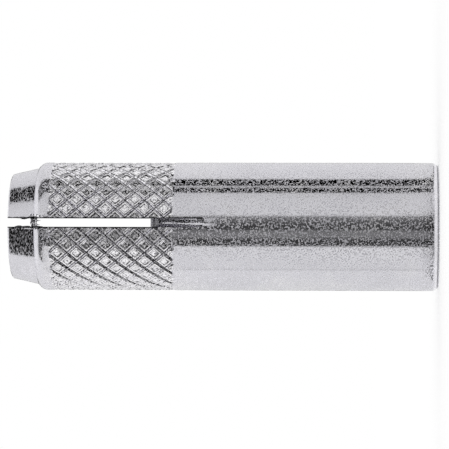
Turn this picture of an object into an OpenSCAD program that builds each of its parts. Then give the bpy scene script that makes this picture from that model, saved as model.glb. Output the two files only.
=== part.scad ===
// Knurled drop-in anchor: an internally threaded expansion sleeve with four saw
// slots, and the loose tapered plug that is driven forward to spread its leaves.
// The sleeve stands on its threaded rim at z = 0, with its nose pointing up.

/* [Sleeve] */
// Overall length of the sleeve
sleeve_len = 40; // [34:0.5:60]
// Wall from the nominal thread out to the body's surface
thread_wall = 1; // [0.8:0.05:2]
// Axial length of the bevel round the outside of the threaded rim
rim_bevel_len = 0.5; // [0.2:0.05:1]
// Radial depth of that bevel
rim_bevel_depth = 0.3; // [0.1:0.05:0.35]

/* [Thread and bore] */
// Nominal diameter of the internal metric thread
thread_d = 10; // [8:0.5:16]
// Pitch of the internal thread
thread_pitch = 1.5; // [1:0.25:1.75]
// Depth of the tapped length, measured from the rim
thread_len = 15; // [10:0.5:18]
// Diameter that the mouth's countersink adds to the nominal thread
mouth_over = 0.3; // [0.1:0.1:0.6]
// Radial step from the tap drill down to the plain bore behind the thread
bore_step = 0.25; // [0.2:0.05:0.5]
// Length of the tapered bore, measured from the nose
taper_len = 14; // [12:0.5:16]
// How far the taper closes in, on the radius, on its way to the nose
taper_drop = 1.4; // [0.8:0.05:1.7]

/* [Nose] */
// Length from the tip back to where the rounded shoulder meets the body
nose_len = 3.4; // [2.6:0.1:3.6]
// Radius of the rounded shoulder
shoulder_round = 1.02; // [0.6:0.02:1.2]
// Radial drop from the body down to the tip
nose_drop = 1.11; // [0.9:0.01:1.4]
// Half angle of the cone in front of the shoulder, in degrees
nose_angle = 12.9; // [8:0.1:15]
// Width of the small bevel round the tip
tip_bevel = 0.12; // [0.05:0.01:0.2]

/* [Knurl] */
// Length of the knurled band
knurl_len = 11.5; // [8:0.5:13]
// Distance from the tip to the front end of the knurled band
knurl_set_back = 3.9; // [3.7:0.1:5]
// Number of grooves of each hand round the sleeve
knurl_starts = 22; // [16:1:28]
// Spacing of the crossings along the sleeve
knurl_pitch = 1.8; // [1.4:0.05:2.4]
// Width of a groove at its top
groove_w = 0.34; // [0.2:0.02:0.5]
// Depth of a groove below the diamonds' corners
groove_depth = 0.18; // [0.08:0.01:0.3]
// Depth of the shallow dish in a diamond's top, whose corners the rollers pressed up
dish_depth = 0.035; // [0.005:0.005:0.05]

/* [Slots] */
// Number of saw slots, evenly spaced, one of them facing the front
slot_count = 4; // [2:1:6]
// Width of a slot
slot_w = 0.8; // [0.5:0.05:1.2]
// Length of a slot on the outside, from the tip to the end of its run-out
slot_len = 18.4; // [17:0.1:20]
// Length that is cut right through into the bore, from the tip
slot_open_len = 14.1; // [12:0.1:15]
// Diameter of the saw that leaves the curved run-out
saw_d = 80; // [60:5:125]
// Radius of the saw's worn tooth corners, which draws the run-out to a point
saw_corner = 0.2; // [0.05:0.05:0.35]
// How far the front and back slots run beside the axis, both to the same side
slot_offset = 0.35; // [0:0.05:0.5]

/* [Expander plug] */
// Length of the plug
plug_len = 11.2; // [8:0.1:13]
// Length of the cone at the plug's front
plug_cone_len = 5.5; // [3:0.1:7]
// How far the front end already stands inside the tapered bore
plug_lead_in = 0.8; // [0.2:0.1:1.5]
// Radial running clearance between the plug and the plain bore
plug_clear = 0.05; // [0.02:0.01:0.08]
// Bevel round the plug's struck back end
plug_back_bevel = 0.35; // [0.1:0.05:0.6]
// Bevel round the plug's front end
plug_front_bevel = 0.15; // [0.05:0.05:0.3]

/* [Hidden] */
$fn = 96;

// Overshoot of every cutter past the face that it opens
cut_over = 1;
// Drop of the diamonds' corners below the body, so that the band never stands proud
corner_drop = 0.02;
// Depth that each end of the knurled band is buried in the plain body
band_bury = 0.1;
// Wall left under the grooves where the plain core backs the knurled band
core_under = 0.6;

body_r = thread_d / 2 + thread_wall;
nose_r = body_r - nose_drop;
shoulder_z = sleeve_len - nose_len;
thread_r = (thread_d - thread_pitch) / 2;
mouth_r = (thread_d + mouth_over) / 2;
bore_r = thread_r - bore_step;
nose_bore_r = bore_r - taper_drop;
taper_z = sleeve_len - taper_len;
taper_slope = taper_drop / taper_len;

// Knurled band: rows and columns of a half-pitch lattice wrapped round the sleeve
corner_r = body_r - corner_drop;
dish_r = corner_r - dish_depth;
groove_r = corner_r - groove_depth;
band_top = sleeve_len - knurl_set_back;
band_bottom = band_top - knurl_len;
lattice_z = band_bottom - band_bury;
lattice_len = knurl_len + 2 * band_bury;
columns = 2 * knurl_starts;
rows = max(2, round(2 * lattice_len / knurl_pitch));
row_step = lattice_len / rows;
column_arc = PI * corner_r / knurl_starts;
// Distance between neighbouring grooves of one hand, square to the grooves
groove_spacing = 2 * row_step * column_arc / norm([row_step, column_arc]);
// Share of each half diagonal that the raised top of a diamond takes
top_share = 1 - groove_w / groove_spacing;

// Saw disc through the two ends of the run-out: on the bore and on the outside
floor_in = [bore_r, sleeve_len - slot_open_len];
floor_out = [body_r, sleeve_len - slot_len];
floor_mid = (floor_in + floor_out) / 2;
floor_dir = (floor_in - floor_out) / norm(floor_in - floor_out);
saw_reach = sqrt(pow(saw_d / 2, 2) - pow(norm(floor_in - floor_out) / 2, 2));
saw_centre = floor_mid + saw_reach * [floor_dir[1], -floor_dir[0]];

// The plug's cone has the slope of the tapered bore that it will wedge into
plug_r = bore_r - plug_clear;
plug_front_r = plug_r - plug_cone_len * taper_slope;
plug_front_z = taper_z + plug_lead_in;
plug_back_z = plug_front_z - plug_len;
plug_cone_z = plug_front_z - plug_cone_len;

function on_round(radius, angle, z) = [radius * cos(angle), radius * sin(angle), z];

// A point of the lattice: i counts half pitches round, j half pitches along
function lattice_point(radius, i, j) =
    on_round(radius, i * 360 / columns, lattice_z + j * row_step);

// Column of the m-th diamond centre in row j: centres and crossings alternate
function centre_column(m, j) = 2 * m + j % 2;
function lattice_index(i, j) = j * columns + (i + columns) % columns;

// The five points of a diamond's top: the bottom of its dish is a lattice point,
// its east, west, north and south corners are kept in four lists of their own
function east_index(m, j) = columns * (rows + 1) + j * knurl_starts + m;
function west_index(m, j) = east_index(m, j) + knurl_starts * (rows + 1);
function north_index(m, j) = west_index(m, j) + knurl_starts * (rows + 1);
function south_index(m, j) = north_index(m, j) + knurl_starts * (rows - 1);

knurl_points = concat(
    [for (j = [0 : rows], i = [0 : columns - 1])
        lattice_point((i + j) % 2 == 0 ? dish_r : groove_r, i, j)],
    [for (j = [0 : rows], m = [0 : knurl_starts - 1])
        lattice_point(corner_r, centre_column(m, j) + top_share, j)],
    [for (j = [0 : rows], m = [0 : knurl_starts - 1])
        lattice_point(corner_r, centre_column(m, j) - top_share, j)],
    [for (j = [0 : rows - 1], m = [0 : knurl_starts - 1])
        lattice_point(corner_r, centre_column(m, j), j + top_share)],
    [for (j = [1 : rows], m = [0 : knurl_starts - 1])
        lattice_point(corner_r, centre_column(m, j), j - top_share)],
    [[0, 0, lattice_z], [0, 0, lattice_z + lattice_len]]
);
cap_bottom = len(knurl_points) - 2;
cap_top = len(knurl_points) - 1;

// The half of a diamond above its centre line: two triangles of its top, four sloping
function upper_half(m, j) =
    let (
        i = centre_column(m, j),
        dish = lattice_index(i, j),
        east = east_index(m, j),
        west = west_index(m, j),
        north = north_index(m, j),
        far_east = lattice_index(i + 1, j),
        far_west = lattice_index(i - 1, j),
        far_north = lattice_index(i, j + 1)
    )
    [[dish, north, east], [dish, west, north],
     [north, far_north, far_east], [north, far_east, east],
     [north, west, far_north], [west, far_west, far_north]];

// The half below it
function lower_half(m, j) =
    let (
        i = centre_column(m, j),
        dish = lattice_index(i, j),
        east = east_index(m, j),
        west = west_index(m, j),
        south = south_index(m, j),
        far_east = lattice_index(i + 1, j),
        far_west = lattice_index(i - 1, j),
        far_south = lattice_index(i, j - 1)
    )
    [[dish, east, south], [dish, south, west],
     [south, east, far_east], [south, far_east, far_south],
     [south, far_south, far_west], [south, far_west, west]];

// The four edges of an end row's diamond, closed to a point on the axis
function end_fan(m, j, apex) =
    let (
        i = centre_column(m, j),
        rim = [lattice_index(i - 1, j), west_index(m, j), lattice_index(i, j),
               east_index(m, j), lattice_index(i + 1, j)]
    )
    [for (k = [0 : 3])
        apex == cap_bottom ? [apex, rim[k], rim[k + 1]] : [apex, rim[k + 1], rim[k]]];

knurl_faces = concat(
    [for (j = [0 : rows - 1], m = [0 : knurl_starts - 1]) each upper_half(m, j)],
    [for (j = [1 : rows], m = [0 : knurl_starts - 1]) each lower_half(m, j)],
    [for (m = [0 : knurl_starts - 1]) each end_fan(m, 0, cap_bottom)],
    [for (m = [0 : knurl_starts - 1]) each end_fan(m, rows, cap_top)]
);

// Diamonds left standing between two families of crossing V grooves
module knurled_band() {
    polyhedron(points = knurl_points, faces = knurl_faces, convexity = 6);
}

// Half section of the turned blank: bevelled rim, body, recess that the knurled
// band fills, rounded shoulder and nose cone
module blank_section() {
    core_r = groove_r - core_under;
    cone_base_r = nose_r + nose_len * tan(nose_angle);
    polygon([
        [0, 0],
        [body_r - rim_bevel_depth, 0],
        [body_r, rim_bevel_len],
        [body_r, band_bottom],
        [core_r, band_bottom],
        [core_r, band_top],
        [body_r, band_top],
        [body_r, shoulder_z],
        [0, shoulder_z]
    ]);
    translate([body_r - shoulder_round, shoulder_z])
        circle(r = shoulder_round);
    polygon([
        [0, shoulder_z],
        [cone_base_r, shoulder_z],
        [nose_r + tip_bevel * tan(nose_angle), sleeve_len - tip_bevel],
        [nose_r - tip_bevel, sleeve_len],
        [0, sleeve_len]
    ]);
}

// Half section of everything that is bored out: countersunk mouth, tap drill
// hole, plain bore and the taper that closes towards the nose
module bore_section() {
    polygon([
        [0, -cut_over],
        [mouth_r + cut_over, -cut_over],
        [thread_r, mouth_r - thread_r],
        [thread_r, thread_len],
        [bore_r, thread_len + bore_step],
        [bore_r, taper_z],
        [nose_bore_r, sleeve_len],
        [nose_bore_r - cut_over * taper_slope, sleeve_len + cut_over],
        [0, sleeve_len + cut_over]
    ]);
}

// Half section of the slitting saw, with the worn corners of its teeth rounded
module saw_section() {
    reach = saw_d / 2;
    half = slot_w / 2;
    corner = min(saw_corner, half - 0.02);
    steps = 3;
    polygon(concat(
        [[0, -half]],
        [for (k = [0 : steps])
            [reach - corner + corner * sin(k * 90 / steps),
             -half + corner - corner * cos(k * 90 / steps)]],
        [for (k = [steps : -1 : 0])
            [reach - corner + corner * sin(k * 90 / steps),
             half - corner + corner * cos(k * 90 / steps)]],
        [[0, half]]
    ));
}

// One plunge of the slitting saw, cutting from the outside into the bore
module saw_cut(beside) {
    translate([saw_centre[0], beside, saw_centre[1]])
        rotate([90, 0, 0])
            rotate_extrude() saw_section();
}

module anchor_sleeve() {
    color([0.76, 0.76, 0.79])
        difference() {
            union() {
                rotate_extrude() blank_section();
                knurled_band();
            }
            rotate_extrude() bore_section();
            for (k = [0 : slot_count - 1])
                rotate([0, 0, k * 360 / slot_count - 90])
                    saw_cut(slot_offset * cos(k * 360 / slot_count));
        }
}

module expander_plug() {
    color([0.62, 0.62, 0.64])
        rotate_extrude()
            polygon([
                [0, plug_back_z],
                [plug_r - plug_back_bevel, plug_back_z],
                [plug_r, plug_back_z + plug_back_bevel],
                [plug_r, plug_cone_z],
                [plug_front_r + plug_front_bevel * taper_slope,
                 plug_front_z - plug_front_bevel],
                [plug_front_r - plug_front_bevel, plug_front_z],
                [0, plug_front_z]
            ]);
}

anchor_sleeve();
expander_plug();
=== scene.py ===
"""Looks of the knurled drop-in anchor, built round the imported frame.

The anchor stands on its threaded rim at z = 0 with its nose up. The camera is
rolled on its side, so that the nose points left in the picture. Sizes named _MM
are millimetres and repeat the part's own; everything else is metres.
"""
import math
import random

import bmesh
import bpy
from mathutils import Matrix, Vector


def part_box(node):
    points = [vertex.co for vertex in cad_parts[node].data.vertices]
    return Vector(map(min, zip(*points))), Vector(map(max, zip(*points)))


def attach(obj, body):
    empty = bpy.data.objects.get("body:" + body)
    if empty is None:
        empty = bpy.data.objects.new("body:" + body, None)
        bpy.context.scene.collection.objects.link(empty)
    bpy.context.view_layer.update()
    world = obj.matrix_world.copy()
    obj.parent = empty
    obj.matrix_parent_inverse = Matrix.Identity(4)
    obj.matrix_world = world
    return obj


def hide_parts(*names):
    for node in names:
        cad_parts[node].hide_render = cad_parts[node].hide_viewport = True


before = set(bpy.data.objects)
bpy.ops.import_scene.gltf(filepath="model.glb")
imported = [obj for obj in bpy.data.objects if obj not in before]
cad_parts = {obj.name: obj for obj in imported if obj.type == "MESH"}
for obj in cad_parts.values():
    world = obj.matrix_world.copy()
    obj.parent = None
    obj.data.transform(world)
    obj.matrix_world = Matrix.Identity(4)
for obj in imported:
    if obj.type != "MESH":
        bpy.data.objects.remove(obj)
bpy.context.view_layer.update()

MM = 0.001

# Sleeve, in the part's own driving sizes
sleeve_low, sleeve_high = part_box("anchor_sleeve")
LENGTH_MM = (sleeve_high.z - sleeve_low.z) / MM
BODY_R_MM = (sleeve_high.x - sleeve_low.x) / 2 / MM
RIM_BEVEL_LEN_MM = 0.5
RIM_BEVEL_DEPTH_MM = 0.3
MOUTH_R_MM = 5.15
THREAD_R_MM = 4.25
THREAD_LEN_MM = 15.0
BORE_R_MM = 4.0
BORE_STEP_MM = 0.25
TAPER_LEN_MM = 14.0
NOSE_BORE_R_MM = 2.6
NOSE_LEN_MM = 3.4
SHOULDER_ROUND_MM = 1.02
NOSE_DROP_MM = 1.11
NOSE_ANGLE = math.radians(12.9)
TIP_BEVEL_MM = 0.12
TIP_EDGES_MM = (0.08, 0.06, 0.08)
MOUTH_EDGE_MM = 0.06
RIM_EDGE_MM = 0.08
RIM_BEVEL_EDGE_MM = 0.15
BODY_RINGS_MM = (8, 12, 16, 20, 22.5, 24, 24.4, 24.59)
NOSE_BORE_RINGS_MM = ((0.4, 4), (0.9, 9))
PLAIN_BORE_RING_MM = 6
SHOULDER_FOOT_MM = 0.2
SHOULDER_STEPS = 8
SHOULDER_Z_MM = LENGTH_MM - NOSE_LEN_MM
SHOULDER_AXIS_MM = BODY_R_MM - SHOULDER_ROUND_MM
NOSE_R_MM = BODY_R_MM - NOSE_DROP_MM
TAPER_Z_MM = LENGTH_MM - TAPER_LEN_MM

# Knurled band
KNURL_TOP_MM = LENGTH_MM - 3.9
KNURL_LEN_MM = 11.5
KNURL_LOW_MM = KNURL_TOP_MM - KNURL_LEN_MM
KNURL_BURY_MM = 0.1
KNURL_STARTS = 22
KNURL_PITCH_MM = 1.8
GROOVE_W_MM = 0.34
GROOVE_DEPTH_MM = 0.18
NARROW_GROOVE_W_MM = 0.25
CORNER_DROP_MM = 0.02
KNURL_FADE_MM = 0.22
KNURL_FADE_START = 0.35
KNURL_GAP_MM = 0.01

# Each diamond has a pressed-up lip along its grooves and a shallow dish inside
GROOVE_ROLL = 0.12
LIP_AT_MM = 0.21
LIP_W_MM = 0.05
LIP_RISE_MM = 0.014
DISH_FROM_MM = 0.26
DISH_TO_MM = 0.38
DISH_DEPTH_MM = 0.035

# Mesh density: grid steps per half pitch in the band, and how much coarser outside
KNURL_STEPS = 10
COARSER = 2
GROOVE_CROWDING = 0.45

# Saw slots
SLOT_COUNT = 4
SLOT_W_MM = 0.8
SLOT_LEN_MM = 18.4
SLOT_OPEN_LEN_MM = 14.1
SAW_R_MM = 40.0
SAW_SEGMENTS = 720
SAW_RIM_MM = 4.0
SAW_CORNERS_MM = (0.32, 0.06)
SAW_CORNER_STEPS = 4
SLOT_OFFSET_MM = 0.35
SLOT_EDGE_MM = 0.07
SLOT_EDGE_FROM_MM = 0.3
SLOT_EDGE_FULL_MM = 1.2
SLOT_EDGE_SPREAD = 0.6
CUTTER_PROUD_MM = 0.3
CUTTER_LEAN_MM = 0.1
CUTTER_INSIDE_MM = 0.01
CUTTER_STEPS = 6

# Torn burr across the front slot at the shoulder. Each shred runs from one place to
# another, both in mm across the slot and in height, and ends with half its thickness;
# its profile has how far along it a ring lies and how full it is there. The low and
# high corners frame the part of the burr that gets painted dark and bright mottle, for its
# shade and glints
BURR_SEED = 11
BURR_JITTER_MM = 0.05
BURR_PROFILE = ((0, 0.7), (0.3, 1.0), (0.7, 0.8), (1, 0.2))
BURR_SHREDS = [
    ((-0.30, 37.28), (1.15, 37.55), 0.09), ((-0.20, 37.55), (1.00, 37.30), 0.08),
    ((1.20, 37.80), (-0.25, 37.42), 0.10), ((1.15, 37.66), (0.15, 37.76), 0.09),
    ((-0.30, 37.16), (0.42, 37.30), 0.09), ((0.95, 37.20), (0.25, 37.18), 0.08),
    ((-0.25, 37.68), (0.40, 37.60), 0.08), ((0.90, 37.90), (0.60, 37.44), 0.08),
    ((0.46, 37.40), (0.50, 36.82), 0.06), ((0.24, 37.30), (0.12, 36.88), 0.07),
    ((-0.02, 37.50), (-0.05, 36.60), 0.06), ((-0.05, 37.80), (0.04, 38.55), 0.09),
    ((-0.08, 38.50), (0.02, 39.25), 0.08), ((0.80, 37.80), (0.68, 38.70), 0.08),
]
BURR_LOW = (-0.25, 36.8)
BURR_HIGH = (1.1, 37.95)
BURR_MOTTLE_EDGES = (0.46, 0.54)
BURR_PAINTED_SHADE_AND_GLINT = (0.08, 1.4)

# Internal thread, M10 coarse
THREAD_PITCH_MM = 1.5
THREAD_MAJOR_R_MM = 5.02
THREAD_ROOT_FLAT_MM = 0.19
THREAD_SEGMENTS = 64
THREAD_INNER_R_MM = 4.1
THREAD_START_MM = -THREAD_PITCH_MM
THREAD_STOP_MM = THREAD_LEN_MM - 0.9
THREAD_FADE_TURNS = 0.6
THREAD_LAST_SHARE = 0.1
FLANK_SLOPE = math.tan(math.radians(30))

# Expander plug
PLUG_CONE_LEN_MM = 5.5
PLUG_BACK_BEVEL_MM = 0.35
PLUG_FRONT_BEVEL_MM = 0.15
PLUG_CENTRE_R_MM = 0.6
PLUG_DIMPLE_R_MM = 1.2
PLUG_DIMPLE_DEPTH_MM = 0.12
PLUG_DIMPLE_EDGE_MM = 0.3
PLUG_BACK_EDGE_MM = 0.2
PLUG_CONE_EDGE_MM = 2.0
PLUG_FRONT_EDGE_MM = 0.08
PLUG_SEGMENTS = 128
SHARP_ANGLE = math.radians(38)

# Finish of both steels: noise in a metre, and the values that it is read as
SOFT_NOISE = (0.3, 0.7)
DRIFT_PER_M = 260.0
DRIFT_SHADES = (0.95, 1.04)
STAINS_PER_M = 900.0
GRAIN_PER_M = 6500.0
RINGS_PER_M = 6500.0
RINGS_SQUEEZE = 0.12

# Plating crystals: where their noise starts and is full, how rough and how much
# paler they are, and the palest that any place may be
SPECKS_PER_M = 7600.0
SPECK_EDGES = (0.525, 0.56)
SPECK_ROUGH = 0.64
SPECK_PALER = 0.42
MOST_PALE = 1.46

# Knurl colours, by how many mm a place lies below the body's surface
# Painted shade in the groove roots, painted highlights on flanks, faces and lips, a painted
# shade line in each dish, and random dark pits
ROOT_AT_MM = (0.185, 0.155)
ROOT_PAINTED_SHADE = 0.12
FLANK_PAINTED_HIGHLIGHT = 1.4
FACE_AT_MM = (0.08, 0.06)
FACE_PAINTED_HIGHLIGHT = 1.45
CREST_AT_MM = (0.042, 0.015)
LIP_PAINTED_HIGHLIGHT = 0.6
DISH_LINE_MM = 0.038
DISH_LINE_EDGES_MM = (0.008, 0.014)
DISH_LINE_PAINTED_SHADE = 0.35
PITS_PER_M = 5500.0
PIT_EDGES = (0.37, 0.41)
PIT_SHADE = 0.25
BAND_OUT_MM = 0.05
BAND_IN_MM = 0.25
BAND_DEEP_MM = GROOVE_DEPTH_MM + 0.1

# Painted shade lines along the slots' outer edges
SLOT_EDGE_PAINTED_SHADE = 0.12
SLOT_EDGE_W_MM = 0.14
SLOT_EDGE_WAVES_PER_M = 3000.0
SLOT_EDGE_FADE = (0.5, 1.0)
SLOT_EDGE_LOW_MM = 0.2
SLOT_EDGE_DEEP_MM = 0.35
SLOT_EDGE_NOSE_SLOPE = 0.32

# Rim: a painted highlight line on its bevel and a painted shade line below it
RIM_HIGHLIGHT_AT_MM = 0.32
RIM_HIGHLIGHT_EDGES_MM = (0.06, 0.14)
RIM_PAINTED_HIGHLIGHT = 0.35
RIM_LINE_AT_MM = 0.13
RIM_LINE_EDGES_MM = (0.025, 0.06)
RIM_PAINTED_SHADE = 0.6

# Nose cone: coarser rings from the lathe, and specks drawn out along them
NOSE_FADE_MM = (0.2, 0.6)
NOSE_RINGS_PER_M = 3200.0
NOSE_RING_MM = 0.02
NOSE_SPECKS_ROUND = 0.5
NOSE_SPECKS_ALONG = 1.7
NOSE_SPECKS = 0.65

# Zinc dust on the plug, which also stands in for a painted highlight at its front: bands by
# height, how much paler and how much duller
DUST_AND_SHEEN_BANDS_MM = [(25.6, 26.4), (26.52, 26.9)]
DUST_AND_SHEEN_FADE_MM = 0.05
DUST_AND_SHEEN_PALER = 0.6
DUST_AND_SHEEN_DULL = 1.0

# The two steels: colour, roughness from and to, grain and turning marks in mm
BRIGHT_ZINC = ((0.68, 0.673, 0.71), (0.04, 0.08), 0.004, 0.001)
DULL_ZINC = ((0.6, 0.6, 0.62), (0.25, 0.35), 0.006, 0.002)

# Room and floor
WORLD_LIGHT = 0.85
WORLD_TO_EYE = 0.15
FLOOR_HALF = 2.5
FLOOR_GREY = 0.86
FLOOR_LIFT = 0.28

# Camera, measured from the photograph's 449 pixel frame
PHOTO_PX = 449
PX_PER_MM = 10.63
CAMERA_DISTANCE_MM = 279.5
CAMERA_TILT = math.radians(2.8)
CAMERA_ROLL = math.radians(-0.12)
CENTRE_PX = (225.2, 226.6)
SENSOR_MM = 36.0
CLIP_M = (0.01, 10.0)


# Meshes

def fillet(corners, segments=4, margin=0.05):
    """Rounds the corners of an open outline; each corner is (radius, height, fillet).

    A point just outside each fillet keeps the straight stretches flat when shaded.
    """
    out = []
    for k, (x, z, size) in enumerate(corners):
        here = Vector((x, z))
        if size == 0 or k in (0, len(corners) - 1):
            out.append(here)
            continue
        back = (Vector(corners[k - 1][:2]) - here).normalized()
        ahead = (Vector(corners[k + 1][:2]) - here).normalized()
        half_turn = back.angle(ahead) / 2
        reach = size / math.tan(half_turn)
        centre = here + (back + ahead).normalized() * (size / math.sin(half_turn))
        start = here + back * reach - centre
        end = here + ahead * reach - centre
        if (Vector(corners[k - 1][:2]) - here).length > reach + 3 * margin:
            out.append(here + back * (reach + margin))
        for step in range(segments + 1):
            ray = start.slerp(end, step / segments)
            out.append(centre + ray * size)
        if (Vector(corners[k + 1][:2]) - here).length > reach + 3 * margin:
            out.append(here + ahead * (reach + margin))
    return out


def stitch(low, low_count, high, high_count):
    """Faces between two rings, one of which may have a few times as many points."""
    faces = []
    fewer = min(low_count, high_count)
    for i in range(fewer):
        lower = [low + (i * low_count // fewer + k) % low_count
                 for k in range(low_count // fewer + 1)]
        upper = [high + (i * high_count // fewer + k) % high_count
                 for k in range(high_count // fewer + 1)]
        faces.append(tuple(lower + upper[::-1]))
    return faces


def rings_to_mesh(name, rings, closed_loop):
    """A skin over rings of points, as one mesh in metres."""
    points = [tuple(c * MM for c in point) for ring in rings for point in ring]
    starts = [0]
    for points_round in rings:
        starts.append(starts[-1] + len(points_round))
    faces = []
    last = len(rings) if closed_loop else len(rings) - 1
    for j in range(last):
        n = (j + 1) % len(rings)
        faces += stitch(starts[j], len(rings[j]), starts[n], len(rings[n]))
    if not closed_loop:
        faces.append(tuple(reversed(range(len(rings[0])))))
        faces.append(tuple(range(starts[-2], starts[-1])))
    mesh = bpy.data.meshes.new(name)
    mesh.from_pydata(points, [], faces)
    mesh.validate()
    return mesh


def new_object(name, mesh):
    piece = bpy.data.objects.new(name, mesh)
    bpy.context.scene.collection.objects.link(piece)
    return piece


def full_turn(count):
    return [2 * math.pi * k / count for k in range(count)]


def ring(radius, z, angles):
    return [(radius * math.cos(a), radius * math.sin(a), z) for a in angles]


def smooth_step(x):
    x = min(max(x, 0.0), 1.0)
    return x * x * (3 - 2 * x)


def crowd(x):
    """Draws grid lines towards whole numbers, where the grooves run."""
    return x - GROOVE_CROWDING * math.sin(2 * math.pi * x) / (2 * math.pi)


def groove_depth_at(distance_mm, width_mm):
    """Depth of a V groove with rolled edges, at a distance from its centre line."""
    share = 1 - distance_mm / (width_mm / 2)
    if share >= GROOVE_ROLL:
        return GROOVE_DEPTH_MM * share
    soft = max(share + GROOVE_ROLL, 0.0)
    return GROOVE_DEPTH_MM * soft * soft / (4 * GROOVE_ROLL)


def diamond_depth_at(from_narrow_mm, from_wide_mm):
    """How far the skin lies below a diamond's corners: grooves, lip, shallow dish."""
    distance = min(from_narrow_mm, from_wide_mm)
    lip = math.exp(-((distance - LIP_AT_MM) / LIP_W_MM) ** 2)
    dish = smooth_step((distance - DISH_FROM_MM) / (DISH_TO_MM - DISH_FROM_MM))
    groove = max(groove_depth_at(from_narrow_mm, NARROW_GROOVE_W_MM),
                 groove_depth_at(from_wide_mm, GROOVE_W_MM))
    return groove - LIP_RISE_MM * lip + DISH_DEPTH_MM * dish


class KnurlLattice:
    """The crossing grooves, in coordinates u and v that are whole on the grooves."""

    def __init__(self):
        self.low = KNURL_LOW_MM - KNURL_BURY_MM
        height = KNURL_LEN_MM + 2 * KNURL_BURY_MM
        self.rows = round(2 * height / KNURL_PITCH_MM)
        self.row_step = height / self.rows
        self.corner_r = BODY_R_MM - CORNER_DROP_MM
        column_arc = math.pi * self.corner_r / KNURL_STARTS
        self.spacing = (2 * self.row_step * column_arc
                        / math.hypot(self.row_step, column_arc))

    def uv(self, i, j):
        """Lattice place of grid column i and grid row j."""
        column, row = i / KNURL_STEPS, j / KNURL_STEPS
        return crowd((column + row + 1) / 2), crowd((row - column + 1) / 2)

    def distances(self, i, j):
        """Distance in mm from the nearest groove of each hand."""
        u, v = self.uv(i, j)
        return abs(u - round(u)) * self.spacing, abs(v - round(v)) * self.spacing

    def point(self, i, j):
        u, v = self.uv(i, j)
        angle = (u - v) * math.pi / KNURL_STARTS
        z = self.low + (u + v - 1) * self.row_step
        edge = min(z - KNURL_LOW_MM, KNURL_TOP_MM - z) / KNURL_FADE_MM
        depth = diamond_depth_at(*self.distances(i, j))
        radius = self.corner_r - depth * smooth_step(edge + KNURL_FADE_START)
        return (radius * math.cos(angle), radius * math.sin(angle), z)


def knurl_rings(count):
    """Rings of grid points that lie wholly inside the knurled band."""
    lattice = KnurlLattice()
    out = []
    for j in range(1, lattice.rows * KNURL_STEPS):
        points = [lattice.point(i, j) for i in range(count)]
        lowest = min(p[2] for p in points)
        highest = max(p[2] for p in points)
        if lowest > KNURL_LOW_MM + KNURL_GAP_MM and highest < KNURL_TOP_MM - KNURL_GAP_MM:
            out.append((j, points))
    return out


def sleeve_blank():
    """The turned and knurled sleeve before its slots and thread are cut."""
    fine = 2 * KNURL_STARTS * KNURL_STEPS
    count = fine // COARSER
    angles = full_turn(count)
    lower = fillet([
        (THREAD_R_MM, MOUTH_R_MM - THREAD_R_MM, 0),
        (MOUTH_R_MM, 0, MOUTH_EDGE_MM),
        (BODY_R_MM - RIM_BEVEL_DEPTH_MM, 0, RIM_EDGE_MM),
        (BODY_R_MM, RIM_BEVEL_LEN_MM, RIM_BEVEL_EDGE_MM),
        (BODY_R_MM, BODY_RINGS_MM[0], 0),
    ])
    lower += [Vector((BODY_R_MM, z)) for z in BODY_RINGS_MM[1:]]
    shoulder = [Vector((BODY_R_MM, KNURL_TOP_MM + KNURL_GAP_MM)),
                Vector((BODY_R_MM, KNURL_TOP_MM + SHOULDER_FOOT_MM))]
    shoulder += [Vector(place) for place in shoulder_arc(range(SHOULDER_STEPS + 1),
                                                         SHOULDER_STEPS)]
    foot = shoulder[-1]
    outer, top, inner = TIP_EDGES_MM
    upper, lower_down = [(NOSE_BORE_R_MM + out, LENGTH_MM - down)
                         for out, down in NOSE_BORE_RINGS_MM]
    tip = fillet([
        (foot.x, foot.y, 0),
        (NOSE_R_MM + TIP_BEVEL_MM * math.tan(NOSE_ANGLE), LENGTH_MM - TIP_BEVEL_MM, outer),
        (NOSE_R_MM - TIP_BEVEL_MM, LENGTH_MM, top),
        (NOSE_BORE_R_MM, LENGTH_MM, inner),
        (*upper, 0),
    ])[1:]
    bore = [Vector(lower_down),
            Vector((BORE_R_MM, TAPER_Z_MM)),
            Vector((BORE_R_MM, TAPER_Z_MM - PLAIN_BORE_RING_MM)),
            Vector((BORE_R_MM, THREAD_LEN_MM + BORE_STEP_MM)),
            Vector((THREAD_R_MM, THREAD_LEN_MM)),
            Vector((THREAD_R_MM, THREAD_LEN_MM / 2))]
    rings = [ring(p.x, p.y, angles) for p in lower]
    rings += [points for _, points in knurl_rings(fine)]
    rings += [ring(p.x, p.y, angles) for p in shoulder + tip + bore]
    blank = new_object("sleeve_blank", rings_to_mesh("sleeve_blank", rings, True))
    split_along_grooves(blank.data, len(lower) * count, fine)
    return blank


def split_along_grooves(mesh, first, fine):
    """Cuts each square of the band's grid along the groove that it lies nearest to."""
    lattice = KnurlLattice()
    rows = [j for j, _ in knurl_rings(fine)]
    work = bmesh.new()
    work.from_mesh(mesh)
    work.verts.ensure_lookup_table()
    splits = []
    for face in work.faces:
        corners = sorted(v.index - first for v in face.verts)
        if len(corners) != 4 or corners[0] < 0 or corners[3] >= fine * len(rows):
            continue
        i, k = corners[0] % fine, corners[0] // fine
        if corners[1] - corners[0] != 1:
            i = fine - 1
        near_u, near_v = lattice.distances(i + 0.5, rows[k] + 0.5)
        across = (i + 1) % fine
        if near_u < near_v:
            ends = (first + k * fine + across, first + (k + 1) * fine + i)
        else:
            ends = (first + k * fine + i, first + (k + 1) * fine + across)
        splits.append((face, work.verts[ends[0]], work.verts[ends[1]]))
    for face, one, other in splits:
        bmesh.utils.face_split(face, one, other)
    work.to_mesh(mesh)
    work.free()


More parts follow.
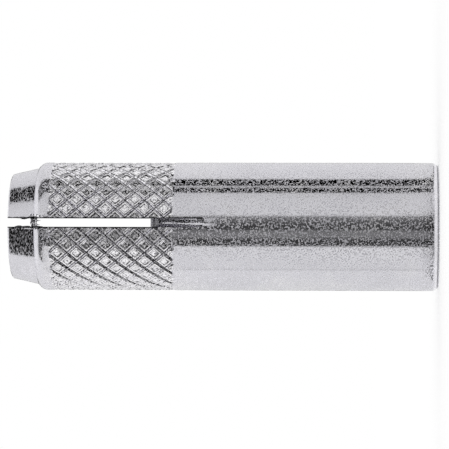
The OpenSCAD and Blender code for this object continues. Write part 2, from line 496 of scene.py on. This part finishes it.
def on_arc(turn):
    """Radius and height of the rounded shoulder at a turn from level."""
    return (SHOULDER_AXIS_MM + SHOULDER_ROUND_MM * math.cos(turn),
            SHOULDER_Z_MM + SHOULDER_ROUND_MM * math.sin(turn))


def cone_radius(z):
    return NOSE_R_MM + (LENGTH_MM - z) * math.tan(NOSE_ANGLE)


def arc_meets_cone():
    """The turn at which the rounded shoulder runs into the nose cone."""
    low, high = 0.0, math.pi / 2
    for _ in range(40):
        turn = (low + high) / 2
        x, z = on_arc(turn)
        if x > cone_radius(z):
            low = turn
        else:
            high = turn
    return low


def shoulder_arc(steps, count):
    """Some of the places that divide the rounded shoulder into equal steps."""
    cone_at = arc_meets_cone()
    return [on_arc(cone_at * step / count) for step in steps]


def skin_radius(z):
    """Radius of the shoulder and the nose cone at a height."""
    rise = min(z - SHOULDER_Z_MM, SHOULDER_ROUND_MM)
    arc = SHOULDER_AXIS_MM + math.sqrt(SHOULDER_ROUND_MM ** 2 - rise ** 2)
    return max(arc, cone_radius(z))


def saw_disc(slot):
    """The slitting saw at one slot: a thin disc whose rim leaves the run-out."""
    floor_in = Vector((BORE_R_MM, LENGTH_MM - SLOT_OPEN_LEN_MM))
    floor_out = Vector((BODY_R_MM, LENGTH_MM - SLOT_LEN_MM))
    along = floor_in - floor_out
    reach = math.sqrt(SAW_R_MM ** 2 - (along.length / 2) ** 2)
    along.normalize()
    centre = (floor_in + floor_out) / 2 + reach * Vector((along.y, -along.x))
    half = SLOT_W_MM / 2
    profile = []
    for corner, hand in zip(SAW_CORNERS_MM, (-1, 1)):
        side = [(SAW_R_MM - SAW_RIM_MM, hand * half)]
        for step in range(SAW_CORNER_STEPS + 1):
            turn = math.pi / 2 * step / SAW_CORNER_STEPS
            side.append((SAW_R_MM - corner * (1 - math.sin(turn)),
                         hand * (half - corner * (1 - math.cos(turn)))))
        profile += side if hand < 0 else side[::-1]
    beside = slot_shift(slot)
    rims = []
    for radius, side in profile:
        rims.append([(centre.x + radius * math.cos(a), beside + side,
                      centre.y + radius * math.sin(a)) for a in full_turn(SAW_SEGMENTS)])
    disc = new_object("saw_disc", rings_to_mesh("saw_disc", rims, False))
    disc.data.transform(slot_turn(slot))
    return disc


def slot_shift(slot):
    """How far a slot lies beside the axis: front and back ones both towards +X."""
    return SLOT_OFFSET_MM * math.cos(2 * math.pi * slot / SLOT_COUNT)


def slot_turn(slot):
    return Matrix.Rotation(2 * math.pi * slot / SLOT_COUNT - math.pi / 2, 4, "Z")


def slot_edge_cutter(slot):
    """A shallow trough that breaks both edges of a slot along the outside."""
    low = LENGTH_MM - SLOT_LEN_MM
    path = [(BODY_R_MM, low + SLOT_EDGE_FROM_MM, 0.0),
            (BODY_R_MM, low + SLOT_EDGE_FULL_MM, 1.0),
            (BODY_R_MM, SHOULDER_Z_MM, 1.0)]
    path += [(x, z, 1.0) for x, z in shoulder_arc(range(1, CUTTER_STEPS + 1), CUTTER_STEPS)]
    path.append((NOSE_R_MM, LENGTH_MM, 1.0))
    path.append((NOSE_R_MM - CUTTER_LEAN_MM, LENGTH_MM + CUTTER_PROUD_MM, 1.0))
    left = slot_shift(slot) - SLOT_W_MM / 2
    right = slot_shift(slot) + SLOT_W_MM / 2
    rings = []
    for x, z, share in path:
        depth = SLOT_EDGE_MM * share
        left_x = math.sqrt(x * x - left * left)
        right_x = math.sqrt(x * x - right * right)
        wide = depth * SLOT_EDGE_SPREAD + CUTTER_PROUD_MM
        rings.append([(left_x + CUTTER_PROUD_MM, left - wide, z),
                      (right_x + CUTTER_PROUD_MM, right + wide, z),
                      (right_x - depth, right - CUTTER_INSIDE_MM, z),
                      (left_x - depth, left + CUTTER_INSIDE_MM, z)])
    cutter = new_object("slot_edge", rings_to_mesh("slot_edge", rings, False))
    cutter.data.transform(slot_turn(slot))
    return cutter


def thread_cutter():
    """The helical V that the tap cuts, fading out at the end of its travel."""
    turns = (THREAD_STOP_MM - THREAD_START_MM) / THREAD_PITCH_MM
    steps = round(turns * THREAD_SEGMENTS)
    rings = []
    for k in range(steps + 1):
        angle = 2 * math.pi * k / THREAD_SEGMENTS
        z = THREAD_START_MM + THREAD_PITCH_MM * k / THREAD_SEGMENTS
        fade = smooth_step((steps - k) / (THREAD_FADE_TURNS * THREAD_SEGMENTS))
        outer = THREAD_INNER_R_MM + (THREAD_MAJOR_R_MM - THREAD_INNER_R_MM) * (
            THREAD_LAST_SHARE + (1 - THREAD_LAST_SHARE) * fade)
        flat = THREAD_ROOT_FLAT_MM / 2
        foot = flat + (outer - THREAD_INNER_R_MM) * FLANK_SLOPE
        section = [(THREAD_INNER_R_MM, -foot), (outer, -flat),
                   (outer, flat), (THREAD_INNER_R_MM, foot)]
        rings.append([(r * math.cos(angle), r * math.sin(angle), z + dz)
                      for r, dz in section])
    return new_object("tap", rings_to_mesh("tap", rings, False))


def burr_shred(draw, start, end, half):
    """A ragged shred of steel over the front slot, thick in the middle."""
    ends = []
    for x, z in (start, end):
        ends.append(Vector((x, -math.sqrt(skin_radius(z) ** 2 - x * x), z)))
    along = (ends[1] - ends[0]).normalized()
    side = along.cross(Vector((0, 1, 0))).normalized()
    up = side.cross(along)
    rings = []
    for share, size in BURR_PROFILE:
        centre = ends[0].lerp(ends[1], share)
        centre += Vector([draw.uniform(-BURR_JITTER_MM, BURR_JITTER_MM) for _ in range(3)])
        centre.y = max(centre.y, half - BODY_R_MM)
        rings.append([tuple(centre + (side * a + up * b) * half * size)
                      for a, b in ((1, 0), (0, 1), (-1, 0), (0, -1))])
    return new_object("shred", rings_to_mesh("shred", rings, False))


def torn_burr():
    """The shreds, merged into one mesh."""
    draw = random.Random(BURR_SEED)
    shreds = [burr_shred(draw, *shred) for shred in BURR_SHREDS]
    apply_tools(shreds[0], shreds[1:], "UNION")
    return shreds[0]


def make_outward(piece):
    work = bmesh.new()
    work.from_mesh(piece.data)
    bmesh.ops.recalc_face_normals(work, faces=work.faces)
    work.to_mesh(piece.data)
    work.free()


def apply_tools(piece, tools, operation):
    """Cuts each tool out of the piece, or merges it in, and removes the tools."""
    make_outward(piece)
    for tool in tools:
        make_outward(tool)
        mod = piece.modifiers.new("tool", "BOOLEAN")
        mod.operation = operation
        mod.solver = "MANIFOLD"
        mod.object = tool
        graph = bpy.context.evaluated_depsgraph_get()
        result = bpy.data.meshes.new_from_object(piece.evaluated_get(graph))
        piece.modifiers.clear()
        old = piece.data
        piece.data = result
        bpy.data.meshes.remove(old)
        bpy.data.meshes.remove(tool.data)


def finish_shading(piece):
    """Smooth faces that break at real edges."""
    for face in piece.data.polygons:
        face.use_smooth = True
    piece.data.set_sharp_from_angle(angle=SHARP_ANGLE)


def build_sleeve():
    sleeve = sleeve_blank()
    tools = [saw_disc(slot) for slot in range(SLOT_COUNT)]
    tools += [slot_edge_cutter(slot) for slot in range(SLOT_COUNT)]
    tools.append(thread_cutter())
    apply_tools(sleeve, tools, "DIFFERENCE")
    apply_tools(sleeve, [torn_burr()], "UNION")
    sleeve.name = "knurled_sleeve"
    finish_shading(sleeve)
    return sleeve


def build_plug():
    low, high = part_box("expander_plug")
    radius = (high.x - low.x) / 2 / MM
    back_z, front_z = low.z / MM, high.z / MM
    slope = (BORE_R_MM - NOSE_BORE_R_MM) / TAPER_LEN_MM
    front_r = radius - PLUG_CONE_LEN_MM * slope
    outline = fillet([
        (PLUG_CENTRE_R_MM, back_z + PLUG_DIMPLE_DEPTH_MM, 0),
        (PLUG_DIMPLE_R_MM, back_z, PLUG_DIMPLE_EDGE_MM),
        (radius - PLUG_BACK_BEVEL_MM, back_z, PLUG_BACK_EDGE_MM),
        (radius, back_z + PLUG_BACK_BEVEL_MM, PLUG_BACK_EDGE_MM),
        (radius, front_z - PLUG_CONE_LEN_MM, PLUG_CONE_EDGE_MM),
        (front_r + PLUG_FRONT_BEVEL_MM * slope, front_z - PLUG_FRONT_BEVEL_MM,
         PLUG_FRONT_EDGE_MM),
        (front_r - PLUG_FRONT_BEVEL_MM, front_z, PLUG_FRONT_EDGE_MM),
        (PLUG_CENTRE_R_MM, front_z, 0),
    ])
    rings = [ring(p.x, p.y, full_turn(PLUG_SEGMENTS)) for p in outline]
    plug = new_object("setting_plug", rings_to_mesh("setting_plug", rings, False))
    make_outward(plug)
    finish_shading(plug)
    return plug


# Materials

class Nodes:
    """A short way to add and wire shader nodes."""

    def __init__(self, tree):
        self.tree = tree

    def add(self, kind, **settings):
        node = self.tree.nodes.new(kind)
        for key, value in settings.items():
            setattr(node, key, value)
        return node

    def link(self, source, target):
        self.tree.links.new(source, target)

    def math(self, operation, a, b=None, clamp=False):
        node = self.add("ShaderNodeMath", operation=operation, use_clamp=clamp)
        for socket, value in zip(node.inputs, (a, b)):
            if value is None:
                continue
            if isinstance(value, (int, float)):
                socket.default_value = value
            else:
                self.link(value, socket)
        return node.outputs[0]

    def noise(self, vector, scale, detail=3.0, roughness=0.55):
        node = self.add("ShaderNodeTexNoise")
        node.inputs["Scale"].default_value = scale
        node.inputs["Detail"].default_value = detail
        node.inputs["Roughness"].default_value = roughness
        self.link(vector, node.inputs["Vector"])
        return node.outputs["Fac"]

    def fine_noise(self, vector, scale):
        return self.noise(vector, scale, detail=1.0, roughness=0.5)

    def remap(self, value, low, high, to_low, to_high):
        node = self.add("ShaderNodeMapRange")
        for name, number in (("From Min", low), ("From Max", high),
                             ("To Min", to_low), ("To Max", to_high)):
            node.inputs[name].default_value = number
        self.link(value, node.inputs["Value"])
        return node.outputs["Result"]


def new_material(name):
    material = bpy.data.materials.new(name)
    material.use_nodes = True
    tree = material.node_tree
    tree.nodes.clear()
    return material, Nodes(tree)


def axes_of(n, place):
    """The three coordinates of a place, in mm."""
    split = n.add("ShaderNodeSeparateXYZ")
    n.link(place, split.inputs["Vector"])
    return [n.math("MULTIPLY", split.outputs[axis], 1 / MM) for axis in "XYZ"]


def radius_of(n, x, y):
    """Distance from the anchor's axis, in mm."""
    return n.math("SQRT", n.math("ADD", n.math("MULTIPLY", x, x), n.math("MULTIPLY", y, y)))


def distance(n, value, number):
    return n.math("ABSOLUTE", n.math("SUBTRACT", value, number))


def where(n, share, factor):
    """A factor that counts only where the share is 1, and is 1 elsewhere."""
    return n.math("ADD", 1.0, n.math("MULTIPLY", n.math("SUBTRACT", factor, 1.0), share))


def between(n, value, low, high):
    """1 between two numbers and 0 outside them."""
    return n.math("MULTIPLY", n.math("GREATER_THAN", value, low),
                  n.math("LESS_THAN", value, high))


def below_skin(n, radius, depths_mm, to_low, to_high):
    """A value that changes over a range of depths below the body's surface."""
    low, high = [BODY_R_MM - depth for depth in depths_mm]
    return n.remap(radius, low, high, to_low, to_high)


def knurl_painted_light_and_pits(n, place, radius, height):
    """Factor for the colour: painted shade in the groove roots, painted highlights on the
    flanks, faces and lips, a painted shade line round each diamond's dish, and random
    dark pits."""
    # Painted shade in the groove roots, painted highlights on flanks, faces and lips
    flank = below_skin(n, radius, ROOT_AT_MM, ROOT_PAINTED_SHADE, FLANK_PAINTED_HIGHLIGHT)
    face = below_skin(n, radius, FACE_AT_MM, 0.0, FACE_PAINTED_HIGHLIGHT - FLANK_PAINTED_HIGHLIGHT)
    lip = below_skin(n, radius, CREST_AT_MM, 0.0, LIP_PAINTED_HIGHLIGHT)
    shade = n.math("ADD", n.math("ADD", flank, face), lip)
    # Painted shade line round each diamond's dish
    painted_shade_line = n.remap(distance(n, radius, BODY_R_MM - DISH_LINE_MM), *DISH_LINE_EDGES_MM,
                   DISH_LINE_PAINTED_SHADE, 1.0)
    pits = n.remap(n.fine_noise(place, PITS_PER_M), *PIT_EDGES, PIT_SHADE, 1.0)
    shade = n.math("MULTIPLY", n.math("MULTIPLY", shade, painted_shade_line), pits)
    starts = n.remap(height, KNURL_LOW_MM - BAND_OUT_MM, KNURL_LOW_MM + BAND_IN_MM,
                     0.0, 1.0)
    ends = n.remap(height, KNURL_TOP_MM - BAND_IN_MM, KNURL_TOP_MM + BAND_OUT_MM, 1.0, 0.0)
    outside = n.math("GREATER_THAN", radius, BODY_R_MM - BAND_DEEP_MM)
    inside = n.math("MULTIPLY", n.math("MULTIPLY", starts, ends), outside)
    return where(n, inside, shade)


def rim_painted_light(n, height):
    """Factor for the colour: a painted highlight on the bevel, and a painted shade line
    below it.
    """
    # Painted highlight on the bevel, painted shade line below it
    painted_highlight = n.remap(distance(n, height, RIM_HIGHLIGHT_AT_MM), *RIM_HIGHLIGHT_EDGES_MM,
                     RIM_PAINTED_HIGHLIGHT, 0.0)
    painted_shade_line = n.remap(distance(n, height, RIM_LINE_AT_MM), *RIM_LINE_EDGES_MM, RIM_PAINTED_SHADE, 0.0)
    return n.math("ADD", 1.0, n.math("SUBTRACT", painted_highlight, painted_shade_line))


def on_nose(n, height, to_low, to_high):
    """One value on the body and another on the nose cone."""
    low, high = [SHOULDER_Z_MM + rise for rise in NOSE_FADE_MM]
    return n.remap(height, low, high, to_low, to_high)


def around(n, place):
    """Places squeezed across the axis, so that noise is drawn out round the anchor."""
    squeeze = n.add("ShaderNodeMapping")
    squeeze.inputs["Scale"].default_value = (RINGS_SQUEEZE, RINGS_SQUEEZE, 1.0)
    n.link(place, squeeze.inputs["Vector"])
    return squeeze.outputs["Vector"]


def turned_nose(n, place, height):
    """Relief of the lathe's coarser rings on the nose cone, in mm."""
    rings = n.fine_noise(around(n, place), NOSE_RINGS_PER_M)
    return n.math("MULTIPLY", rings, on_nose(n, height, 0.0, NOSE_RING_MM))


def speck_place(n, place, height):
    """Places for the specks, which the lathe's rings draw out round the nose cone."""
    round_it = on_nose(n, height, 1.0, NOSE_SPECKS_ROUND)
    scale = n.add("ShaderNodeCombineXYZ")
    n.link(round_it, scale.inputs["X"])
    n.link(round_it, scale.inputs["Y"])
    n.link(on_nose(n, height, 1.0, NOSE_SPECKS_ALONG), scale.inputs["Z"])
    scaled = n.add("ShaderNodeVectorMath", operation="MULTIPLY")
    n.link(place, scaled.inputs[0])
    n.link(scale.outputs["Vector"], scaled.inputs[1])
    return scaled.outputs["Vector"]


def burr_painted_mottle(n, place, x, y, height):
    """Factor for the colour: painted dark and bright mottle on the burr, standing in for
    its shade and glints.
    """
    inside = n.math("LESS_THAN", y, 0.0)
    for value, low, high in zip((x, height), BURR_LOW, BURR_HIGH):
        inside = n.math("MULTIPLY", inside, between(n, value, low, high))
    # Painted shade and glints: dark and bright mottle by noise
    painted_mottle = n.remap(n.fine_noise(place, PITS_PER_M), *BURR_MOTTLE_EDGES, *BURR_PAINTED_SHADE_AND_GLINT)
    return where(n, inside, painted_mottle)


def slot_edge_painted_shade(n, place, x, y, radius, height):
    """Factor for the colour: painted shade lines along the slots' outer edges."""
    nearest = n.math("MINIMUM", distance(n, x, SLOT_OFFSET_MM), n.math("ABSOLUTE", y))
    far = distance(n, nearest, SLOT_W_MM / 2)
    uneven = n.math("MULTIPLY", n.noise(place, SLOT_EDGE_WAVES_PER_M, detail=2.0),
                    2 * SLOT_EDGE_W_MM)
    shade = n.remap(n.math("DIVIDE", far, uneven), *SLOT_EDGE_FADE,
                    1 - SLOT_EDGE_PAINTED_SHADE, 0.0)
    slotted = n.math("GREATER_THAN", height, LENGTH_MM - SLOT_LEN_MM + SLOT_EDGE_LOW_MM)
    rise = n.math("MAXIMUM", n.math("SUBTRACT", height, SHOULDER_Z_MM), 0.0)
    deep = n.math("SUBTRACT", BODY_R_MM - SLOT_EDGE_DEEP_MM,
                  n.math("MULTIPLY", rise, SLOT_EDGE_NOSE_SLOPE))
    outside = n.math("GREATER_THAN", radius, deep)
    # The lower edge of each run-out gets no painted shade
    run_out_unshaded = n.math("MULTIPLY", n.math("LESS_THAN", x, SLOT_OFFSET_MM),
                  n.math("LESS_THAN", height, LENGTH_MM - SLOT_OPEN_LEN_MM))
    for share in (slotted, outside, n.math("SUBTRACT", 1.0, run_out_unshaded)):
        shade = n.math("MULTIPLY", shade, share)
    return n.math("SUBTRACT", 1.0, shade)


def plug_dust_and_sheen(n, height):
    """Share of pale zinc dust on the plug, which also stands in for a painted highlight:
    two bands behind its front edge.
    """
    share = 0.0
    for low, high in DUST_AND_SHEEN_BANDS_MM:
        starts = n.remap(height, low, low + DUST_AND_SHEEN_FADE_MM, 0.0, 1.0)
        ends = n.remap(height, high - DUST_AND_SHEEN_FADE_MM, high, 1.0, 0.0)
        share = n.math("ADD", share, n.math("MULTIPLY", starts, ends))
    return share


def bump(n, height, depth_mm, under=None):
    node = n.add("ShaderNodeBump")
    node.inputs["Strength"].default_value = 1.0
    node.inputs["Distance"].default_value = depth_mm * MM
    n.link(height, node.inputs["Height"])
    if under is not None:
        n.link(under, node.inputs["Normal"])
    return node.outputs["Normal"]


def plated_steel(name, steel, on_sleeve):
    """Bright zinc over turned steel: matt crystals, faint turning marks, soft stains."""
    tint, rough_range, grain_mm, turning_mm = steel
    material, n = new_material(name)
    place = n.add("ShaderNodeTexCoord").outputs["Object"]
    x, y, height = axes_of(n, place)
    shader = n.add("ShaderNodeBsdfPrincipled")
    shader.inputs["Metallic"].default_value = 1.0

    # Colour drifts slowly over the part, and painted shade and highlights change it in
    # places
    value = n.remap(n.noise(place, DRIFT_PER_M, detail=4.0), *SOFT_NOISE, *DRIFT_SHADES)
    if on_sleeve:
        radius = radius_of(n, x, y)
        for factor in (knurl_painted_light_and_pits(n, place, radius, height),
                       slot_edge_painted_shade(n, place, x, y, radius, height),
                       rim_painted_light(n, height),
                       burr_painted_mottle(n, place, x, y, height)):
            value = n.math("MULTIPLY", value, factor)

    # Plating crystals scatter light between smooth patches, so dark reflections
    # sparkle; they are paler, so that light reflections stay even
    smooth = n.remap(n.noise(place, STAINS_PER_M), *SOFT_NOISE, *rough_range)
    at = speck_place(n, place, height) if on_sleeve else place
    crystals = n.remap(n.fine_noise(at, SPECKS_PER_M), *SPECK_EDGES, 0.0, 1.0)
    if on_sleeve:
        crystals = n.math("MULTIPLY", crystals, on_nose(n, height, 1.0, NOSE_SPECKS))
    extra = n.math("SUBTRACT", SPECK_ROUGH, smooth)
    rough = n.math("ADD", smooth, n.math("MULTIPLY", crystals, extra))
    n.link(rough, shader.inputs["Roughness"])
    paler = n.math("ADD", 1.0, n.math("MULTIPLY", crystals, SPECK_PALER))
    value = n.math("MINIMUM", n.math("MULTIPLY", value, paler), MOST_PALE)
    if not on_sleeve:
        # Paler, duller bands on the plug: partly zinc dust, partly a painted highlight
        dust_and_sheen = plug_dust_and_sheen(n, height)
        value = n.math("ADD", value, n.math("MULTIPLY", dust_and_sheen, DUST_AND_SHEEN_PALER))
        n.link(n.math("SUBTRACT", 1.0, n.math("MULTIPLY", dust_and_sheen, DUST_AND_SHEEN_DULL)),
               shader.inputs["Metallic"])
    scale = n.add("ShaderNodeVectorMath", operation="SCALE")
    scale.inputs[0].default_value = tint
    n.link(value, scale.inputs["Scale"])
    n.link(scale.outputs["Vector"], shader.inputs["Base Color"])

    # Grain of the blasted and plated surface, over faint rings left by the lathe
    rings = n.noise(around(n, place), RINGS_PER_M, detail=2.0, roughness=0.7)
    rings = n.math("MULTIPLY", rings, turning_mm)
    if on_sleeve:
        rings = n.math("ADD", rings, turned_nose(n, place, height))
    turned = bump(n, rings, 1.0)
    grain = n.fine_noise(place, GRAIN_PER_M)
    n.link(bump(n, grain, grain_mm, turned), shader.inputs["Normal"])

    out = n.add("ShaderNodeOutputMaterial")
    n.link(shader.outputs["BSDF"], out.inputs["Surface"])
    return material


def paint(piece, material):
    piece.data.materials.clear()
    piece.data.materials.append(material)


# Studio: white room, white floor, and a ring of grey and black panels that only
# the metal's reflections see

# Azimuth in degrees from the front, towards +X, and how bright the room is there:
# level with the anchor, about 30 and 55 degrees above it, and on the floor
PANELS_LEVEL = [
    (-180, 0.15), (-168, 0.2), (-164, 0.75), (-90, 0.93), (-85, 0.93), (-84, 0.7),
    (-81, 0.7), (-80, 0.86), (-60, 0.92), (-36, 0.95), (-34, 0.05), (-23, 0.05),
    (-18, 0.22), (-8, 0.22), (-4, 0.05), (3, 0.07), (12, 0.15), (18, 0.24),
    (20, 0.84), (44, 0.82), (62, 0.74), (63.5, 0.0), (73, 0.0), (74.5, 0.7),
    (76.5, 0.7), (78.5, 0.0), (93, 0.0), (95.5, 0.95), (130, 0.93), (164, 0.8),
    (168, 0.2), (180, 0.15),
]
PANELS_ABOVE = [
    (-180, 0.15), (-166, 0.2), (-160, 0.84), (-90, 0.93), (-69, 0.95), (-66, 0.03),
    (-30, 0.01), (5, 0.03), (8, 0.85), (54, 0.8), (57, 0.01), (92, 0.01),
    (96, 0.88), (160, 0.84), (166, 0.2), (180, 0.15),
]
PANELS_HIGH = [(-180, 1.0), (-14, 1.0), (-12, 0.02), (12, 0.02), (14, 1.0), (180, 1.0)]
PANELS_BELOW = [
    (-180, 0.8), (-100, 0.85), (-96, 0.03), (-62, 0.03), (-60, 0.2), (-36, 0.2),
    (-34, 0.02), (20, 0.02), (24, 0.35), (58, 0.4), (62, 0.03), (94, 0.03),
    (98, 0.85), (180, 0.8),
]
LEVEL_TOP_MM = 60.0
ABOVE_FROM_MM = 120.0
ABOVE_TOP_MM = 290.0
HIGH_FROM_MM = 300.0
RING_FROM_MM = 16.0
RING_TO_MM = 36.0
RING_FADE_MM = 3.0
PANEL_R_MM = 220.0
PANEL_TOP_MM = 440.0
PANEL_INNER_MM = 6.6
PANEL_FOOT_MM = 0.05
PANEL_SEGMENTS = 180


def white_to_eye(n):
    """1 for camera, mirror and glass rays, which see the white background."""
    path = n.add("ShaderNodeLightPath")
    seen = n.math("ADD", path.outputs["Is Camera Ray"], path.outputs["Is Glossy Ray"])
    return n.math("ADD", seen, path.outputs["Is Transmission Ray"], clamp=True)


def make_world():
    world = bpy.data.worlds.new("white_room")
    bpy.context.scene.world = world
    world.use_nodes = True
    tree = world.node_tree
    tree.nodes.clear()
    n = Nodes(tree)
    seen = white_to_eye(n)
    strength = n.math("ADD", n.math("MULTIPLY", seen, WORLD_TO_EYE), WORLD_LIGHT)
    back = n.add("ShaderNodeBackground")
    back.inputs["Color"].default_value = (1, 1, 1, 1)
    n.link(strength, back.inputs["Strength"])
    out = n.add("ShaderNodeOutputWorld")
    n.link(back.outputs["Background"], out.inputs["Surface"])


def make_floor():
    """A pale floor that looks white and keeps the anchor's soft shadow."""
    mesh = bpy.data.meshes.new("floor")
    corners = [(FLOOR_HALF * x, FLOOR_HALF * y, 0)
               for x, y in ((-1, -1), (1, -1), (1, 1), (-1, 1))]
    mesh.from_pydata(corners, [], [(0, 1, 2, 3)])
    floor = new_object("floor", mesh)
    material, n = new_material("white_floor")
    diffuse = n.add("ShaderNodeBsdfDiffuse")
    diffuse.inputs["Color"].default_value = (FLOOR_GREY, FLOOR_GREY, FLOOR_GREY, 1)
    lift = n.add("ShaderNodeEmission")
    n.link(n.math("MULTIPLY", white_to_eye(n), FLOOR_LIFT), lift.inputs["Strength"])
    both = n.add("ShaderNodeAddShader")
    n.link(diffuse.outputs["BSDF"], both.inputs[0])
    n.link(lift.outputs["Emission"], both.inputs[1])
    out = n.add("ShaderNodeOutputMaterial")
    n.link(both.outputs["Shader"], out.inputs["Surface"])
    paint(floor, material)


def grey_ramp(n, share, panels):
    """A colour ramp over the full turn, from pairs of azimuth and brightness."""
    ramp = n.add("ShaderNodeValToRGB")
    stops = ramp.color_ramp.elements
    stops[0].position = 0.0
    stops[1].position = 1.0
    for azimuth, grey in panels:
        if azimuth == -180:
            stop = stops[0]
        elif azimuth == 180:
            stop = stops[len(stops) - 1]
        else:
            stop = stops.new((azimuth + 180) / 360)
        stop.color = (grey, grey, grey, 1)
    n.link(share, ramp.inputs["Fac"])
    return ramp.outputs["Color"]


def blend(n, share, first, second):
    """The first colour where the share is 0, and the second where it is 1."""
    mix = n.add("ShaderNodeMix", data_type="RGBA")
    n.link(share, mix.inputs["Factor"])
    n.link(first, mix.inputs["A"])
    n.link(second, mix.inputs["B"])
    return mix.outputs["Result"]


def panel_greys(n):
    """How bright the panels are, by the azimuth, radius and height of the place."""
    x, y, height = axes_of(n, n.add("ShaderNodeTexCoord").outputs["Object"])
    turn = n.math("ARCTAN2", x, n.math("MULTIPLY", y, -1.0))
    share = n.remap(turn, -math.pi, math.pi, 0.0, 1.0)
    level, above, high, below = [grey_ramp(n, share, panels) for panels in (
        PANELS_LEVEL, PANELS_ABOVE, PANELS_HIGH, PANELS_BELOW)]
    radius = radius_of(n, x, y)
    starts = n.remap(radius, RING_FROM_MM - RING_FADE_MM, RING_FROM_MM, 0.0, 1.0)
    ends = n.remap(radius, RING_TO_MM, RING_TO_MM + RING_FADE_MM, 1.0, 0.0)
    to_above = n.remap(height, LEVEL_TOP_MM, ABOVE_FROM_MM, 0.0, 1.0)
    to_high = n.remap(height, ABOVE_TOP_MM, HIGH_FROM_MM, 0.0, 1.0)
    low = blend(n, n.math("MULTIPLY", starts, ends), level, below)
    return blend(n, to_high, blend(n, to_above, low, above), high)


def make_panels():
    """A low wall of panels round the anchor, carried in along the floor."""
    outline = [(PANEL_INNER_MM, PANEL_FOOT_MM), (PANEL_R_MM, PANEL_FOOT_MM),
               (PANEL_R_MM, PANEL_TOP_MM)]
    rings = [ring(r, z, full_turn(PANEL_SEGMENTS)) for r, z in outline]
    mesh = rings_to_mesh("panels", rings, False)
    work = bmesh.new()
    work.from_mesh(mesh)
    caps = [face for face in work.faces if len(face.verts) > 4]
    bmesh.ops.delete(work, geom=caps, context="FACES_ONLY")
    work.to_mesh(mesh)
    work.free()
    panels = new_object("panels", mesh)
    material, n = new_material("panel_greys")
    glow = n.add("ShaderNodeEmission")
    n.link(panel_greys(n), glow.inputs["Color"])
    out = n.add("ShaderNodeOutputMaterial")
    n.link(glow.outputs["Emission"], out.inputs["Surface"])
    paint(panels, material)
    material.cycles.emission_sampling = "NONE"
    panels.visible_camera = False
    panels.visible_diffuse = False
    panels.visible_shadow = False


def make_camera():
    """Nose to the left, level with the slot that faces the front."""
    focal_px = PX_PER_MM * CAMERA_DISTANCE_MM
    data = bpy.data.cameras.new("camera")
    data.sensor_width = SENSOR_MM
    data.lens = SENSOR_MM * focal_px / PHOTO_PX
    data.clip_start, data.clip_end = CLIP_M
    camera = bpy.data.objects.new("camera", data)
    bpy.context.scene.collection.objects.link(camera)
    centre = Vector((0, 0, LENGTH_MM / 2)) * MM
    back = Vector((0, -math.cos(CAMERA_TILT), -math.sin(CAMERA_TILT)))
    right = Matrix.Rotation(CAMERA_ROLL, 3, -back) @ Vector((0, 0, -1))
    right = (right - right.dot(back) * back).normalized()
    up = back.cross(right)
    off_x = (CENTRE_PX[0] - PHOTO_PX / 2) / PX_PER_MM * MM
    off_y = (CENTRE_PX[1] - PHOTO_PX / 2) / PX_PER_MM * MM
    aim = centre - right * off_x + up * off_y
    camera.matrix_world = Matrix.Translation(
        aim + back * CAMERA_DISTANCE_MM * MM
    ) @ Matrix((right, up, back)).transposed().to_4x4()
    bpy.context.scene.camera = camera


make_camera()
make_world()
make_floor()
make_panels()

sleeve = build_sleeve()
paint(sleeve, plated_steel("bright_zinc", BRIGHT_ZINC, True))
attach(sleeve, "sleeve")
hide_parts("anchor_sleeve")

plug = build_plug()
paint(plug, plated_steel("dull_zinc", DULL_ZINC, False))
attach(plug, "plug")
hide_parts("expander_plug")

bpy.context.scene.view_settings.view_transform = "Standard"
